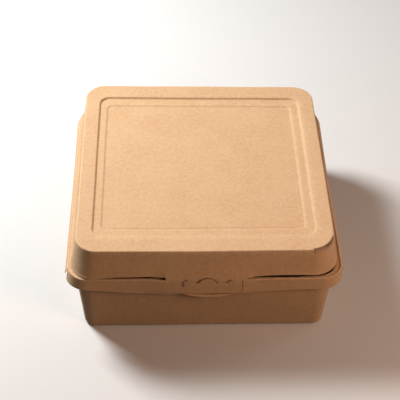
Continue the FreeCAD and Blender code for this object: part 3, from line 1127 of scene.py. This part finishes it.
def tabRelief(x, z):
    # How far the tab's face is pressed in: two dents, the half-moon's tongue and the score line between.
    level = trayHigh.z - tab["dentBelow"]
    depth = 0.0
    for at in tab["dentAt"].values():
        across, up = x - at, z - level
        inside = tab["dentRadius"] - math.hypot(across, up)
        slant = max(0.7 * up - 0.7 * across, 0.0) / tab["dentRadius"]  # deepest at its upper left
        depth += tab["dentDepth"] * slant * smooth(inside, 0, tab["dentEdge"])
    ends = trayHigh.z - tab["moonEnds"]
    radius, middle = moonArc()
    inside = radius - math.hypot(x, z - middle)
    depth += tab["moonSink"] * smooth(inside, -0.1, 0.4) * smooth(z, ends - 3.5, ends + 0.5)
    stop = abs(tab["dentAt"][1 if x > 0 else -1]) - tab["dentRadius"] + 0.4
    if tab["moonWidth"] / 2 + 0.4 < abs(x) < stop:
        depth += tab["scoreDepth"] * hump(z, ends, tab["scoreHalf"])
    return depth


def cutShade(x, z):
    # How much painted shade lies here: along the half-moon's slit, darker to the left, and on the dents'
    # steep upper left sides.
    radius, middle = moonArc()
    paintedShade = 0.0
    if z > trayHigh.z - tab["moonEnds"] - 0.3:
        off = math.hypot(x, z - middle) - radius
        paintedShade = tab["cutShadeStrength"] * hump(off, -0.3, tab["cutShadeHalf"]) * (1 - 0.4 * smooth(x, -7, 7))
    for side, at in tab["dentAt"].items():
        across, up = x - at, z - trayHigh.z + tab["dentBelow"]
        degrees = math.degrees(math.atan2(up, across)) % 360
        start, stop = tab["dentShadeArcs"][side]
        off = math.hypot(across, up) - tab["dentRadius"] + tab["dentEdge"] / 2
        along = smooth(degrees, start - 12, start) * (1 - smooth(degrees, stop, stop + 20))
        paintedShade = max(paintedShade, tab["cutShadeStrength"] * along * hump(off, 0, tab["cutShadeHalf"]))
    return paintedShade


def moonArc():
    half, rise = tab["moonWidth"] / 2, tab["moonRise"]
    radius = (half ** 2 + rise ** 2) / (2 * rise)
    return radius, trayHigh.z - tab["moonEnds"] + rise - radius


def moonCutter():
    # A thin curved wall that cuts the half-moon's slit right through the tab.
    radius, middle = moonArc()
    first = math.acos(tab["moonWidth"] / 2 / radius)
    narrow, wide = tab["moonSlit"]
    points, faces, steps = [], [], 28
    for k in range(steps + 1):
        angle = first + (math.pi - 2 * first) * k / steps
        slit = narrow + (wide - narrow) * k / steps
        for y in (lidLow.y - 6, lidLow.y + 6):
            for reach in (radius - slit, radius):
                x, z = lid["frontShift"] + reach * math.cos(angle), middle + reach * math.sin(angle)
                points.append((x * mm, y * mm, z * mm))
    for k in range(steps):
        a, b = 4 * k, 4 * k + 4
        faces += [(a, a + 1, b + 1, b), (a + 2, b + 2, b + 3, a + 3)]
        faces += [(a, b, b + 2, a + 2), (a + 1, a + 3, b + 3, b + 1)]
    faces += [(0, 2, 3, 1), (4 * steps, 4 * steps + 1, 4 * steps + 3, 4 * steps + 2)]
    mesh = newMesh("moonCutter", points, faces, kraftBoard)
    faceOutward(mesh)
    cutter = addObject("moonCutter", mesh)
    cutter.hide_render = True
    return cutter


makeTray()
print("tray is made")
makeLid()
print("lid is made")


# back fold

fold = {
    "axisOut": 0.15,  # of the tray's back edge, and as far above its rim
    "thin": 0.08,
    "overlap": 0.5,
    "outerRadius": 0.76,
    "innerRadius": 0.16,
}


def makeFold(name, radius, grow):
    # A thin skin round the fold line: from under the tray's rim to the top of the lid's flap.
    axisY, axisZ = trayHigh.y + fold["axisOut"], trayHigh.z + fold["axisOut"]
    half, steps = lid["foldHalf"], 14
    places = [-half + 2 * half * k / 40 for k in range(41)]
    section = []
    for reach in (radius, radius + grow):
        row = [(axisY - fold["overlap"], axisZ - reach)]
        row += [(axisY + reach * math.cos(math.radians(a)), axisZ + reach * math.sin(math.radians(a)))
                for a in np.linspace(-90, 90, steps)]
        row += [(axisY - fold["overlap"], axisZ + reach)]
        section += row if reach == radius else row[::-1]
    points = [(x * mm, y * mm, z * mm) for x in places for y, z in section]
    size = len(section)
    faces = []
    for k in range(len(places) - 1):
        for j in range(size):
            here, following = k * size + j, k * size + (j + 1) % size
            faces.append((here, following, following + size, here + size))
    faces.append(tuple(range(size)))
    faces.append(tuple(range((len(places) - 1) * size, len(places) * size))[::-1])
    mesh = newMesh(name, points, faces, kraftBoard)
    for layer, value in (("fold", 0.8), ("tearAndShade", 0.0), ("lift", 0.0)):
        mesh.attributes.new(layer, "FLOAT", "POINT").data.foreach_set("value", [value] * len(points))
    skin = addObject(name, mesh)
    faceOutward(mesh)
    makeSmooth(mesh)
    reach = max(radius, radius + grow) * mm
    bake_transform(skin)


makeFold("foldOutside", fold["outerRadius"], -fold["thin"])
makeFold("foldInside", fold["innerRadius"], fold["thin"])
print("back fold is made")
